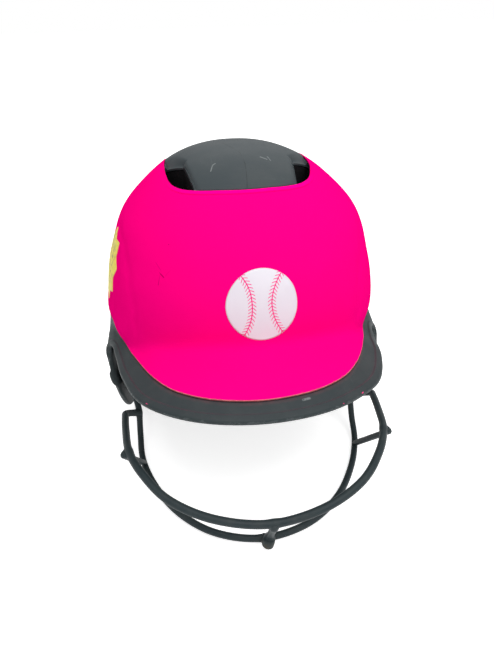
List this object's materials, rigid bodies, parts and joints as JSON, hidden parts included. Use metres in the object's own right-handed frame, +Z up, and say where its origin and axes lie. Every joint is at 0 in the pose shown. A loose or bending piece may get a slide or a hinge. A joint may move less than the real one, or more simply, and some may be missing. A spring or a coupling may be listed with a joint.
{
  "type": "batting helmet",
  "caption": "Batting helmet with peak and ear flaps, a bonded outer cover open at the crown, foam lining with pads, and a welded wire face guard held in clips by screws.",
  "frame": {"origin": "Middle of the head opening, on the plane that the ear flaps and the chin wire stand on, below the line through the wearer's ears.", "axes": "-Y is the way the wearer faces, where the peak and the face guard are; +X is the wearer's left; +Z is up, toward the crown."},
  "size_m": [0.212, 0.3212, 0.211],
  "materials": {
    "shell": "satin",
    "cover": "matte",
    "liner": "matte",
    "pad": "matte",
    "guard": "satin",
    "clip": "satin",
    "screw": "satin",
    "nut": "satin"
  },
  "bodies": {
    "root": {"base_shell": "shell", "outer_cover": "cover", "impact_liner": "liner", "brow_pad": "pad", "crown_pad": "pad", "temple_pad_left": "pad", "temple_pad_right": "pad", "nape_pad": "pad", "ear_pad_left": "pad", "ear_pad_right": "pad", "guard_upper_bar": "guard", "guard_lower_bar": "guard", "guard_cross_bar_left": "guard", "guard_cross_bar_right": "guard", "guard_centre_bar": "guard", "jaw_clip_left": "clip", "jaw_clip_right": "clip", "temple_clip_left": "clip", "temple_clip_right": "clip", "jaw_screws": "screw", "temple_screws": "screw", "jaw_nuts": "nut", "temple_nuts": "nut"}
  },
  "joints": []
}
